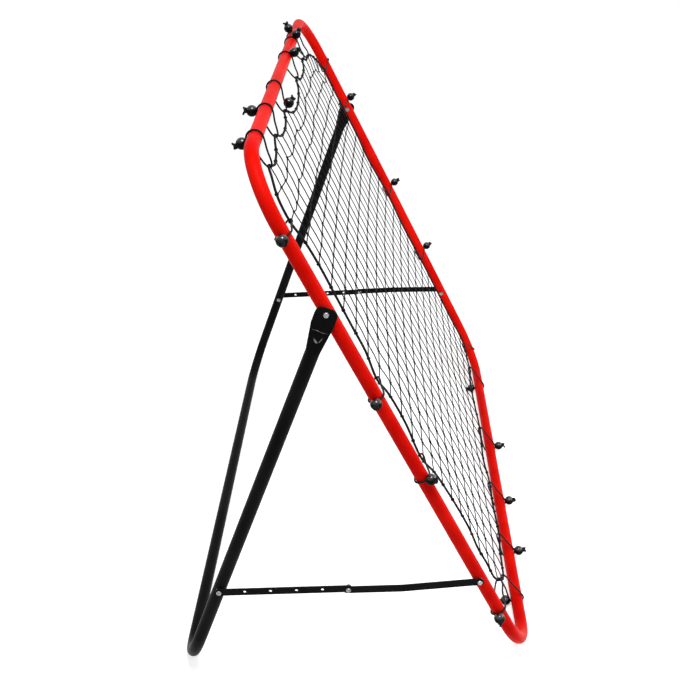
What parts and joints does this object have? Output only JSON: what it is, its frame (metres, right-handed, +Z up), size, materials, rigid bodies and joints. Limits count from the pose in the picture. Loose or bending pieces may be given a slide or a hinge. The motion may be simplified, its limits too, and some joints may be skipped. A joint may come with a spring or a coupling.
{
  "type": "pitch back rebounder",
  "caption": "Leaning bent-tube frame with a square net on ball bungees, held up by a folding rear leg and bolted flat stays.",
  "frame": {"origin": "on the floor, in the middle of the width, under the pivot line", "axes": "+X out of the front of the net, +Y to the right seen from behind, +Z up"},
  "size_m": [0.7241, 1.3346, 1.0815],
  "materials": {
    "red_powder_coat": "gloss powder coat",
    "black_powder_coat": "satin powder coat",
    "net_twine": "twisted knotted twine",
    "border_rope": "braided cord",
    "elastic_cord": "braided elastic cord",
    "ball": "moulded gloss",
    "zinc_fastener": "bright zinc"
  },
  "bodies": {
    "frame": {"upper_frame_tube": "red_powder_coat", "lower_frame_tube": "red_powder_coat", "net": "net_twine", "net_border_rope": "border_rope", "top_bungee_loops": "elastic_cord", "top_bungee_balls": "ball", "bottom_bungee_loops": "elastic_cord", "bottom_bungee_balls": "ball", "left_bungee_loops": "elastic_cord", "left_bungee_balls": "ball", "right_bungee_loops": "elastic_cord", "right_bungee_balls": "ball", "pivot_bolts": "zinc_fastener", "pivot_nuts": "zinc_fastener", "frame_stay_bolts": "zinc_fastener", "frame_stay_nuts": "zinc_fastener", "frame_washers": "zinc_fastener"},
    "rear_leg": {"left_leg_tube": "black_powder_coat", "right_leg_tube": "black_powder_coat", "rear_foot_tube": "black_powder_coat", "leg_stay_bolts": "zinc_fastener", "leg_stay_nuts": "zinc_fastener", "leg_washers": "zinc_fastener"},
    "left_front_stay": {"left_front_stay": "black_powder_coat", "left_middle_bolt": "zinc_fastener"},
    "left_rear_stay": {"left_rear_stay": "black_powder_coat", "left_middle_nut": "zinc_fastener"},
    "right_front_stay": {"right_front_stay": "black_powder_coat", "right_middle_bolt": "zinc_fastener"},
    "right_rear_stay": {"right_rear_stay": "black_powder_coat", "right_middle_nut": "zinc_fastener"}
  },
  "joints": [
    {"name": "leg_fold", "type": "hinge", "parent": "frame", "child": "rear_leg", "pos_m": [0, 0, 0.80157], "axis": [0, -1, 0], "range_deg": [0, 33.6]},
    {"name": "left_front_stay_turn", "type": "hinge", "parent": "frame", "child": "left_front_stay", "pos_m": [0.24405, -0.645, 0.23489], "axis": [0, 1, 0], "range_deg": [0, 56.62]},
    {"name": "left_rear_stay_turn", "type": "hinge", "parent": "rear_leg", "child": "left_rear_stay", "pos_m": [-0.24405, -0.652, 0.23489], "axis": [0, -1, 0], "range_deg": [0, 56.62]},
    {"name": "right_front_stay_turn", "type": "hinge", "parent": "frame", "child": "right_front_stay", "pos_m": [0.24405, 0.645, 0.23489], "axis": [0, 1, 0], "range_deg": [0, 56.62]},
    {"name": "right_rear_stay_turn", "type": "hinge", "parent": "rear_leg", "child": "right_rear_stay", "pos_m": [-0.24405, 0.652, 0.23489], "axis": [0, -1, 0], "range_deg": [0, 56.62]}
  ],
  "couplings": [
    {"joint": "left_front_stay_turn", "follows": "leg_fold", "ratio": 1.6836},
    {"joint": "left_rear_stay_turn", "follows": "leg_fold", "ratio": 1.6836},
    {"joint": "right_front_stay_turn", "follows": "leg_fold", "ratio": 1.6836},
    {"joint": "right_rear_stay_turn", "follows": "leg_fold", "ratio": 1.6836}
  ]
}
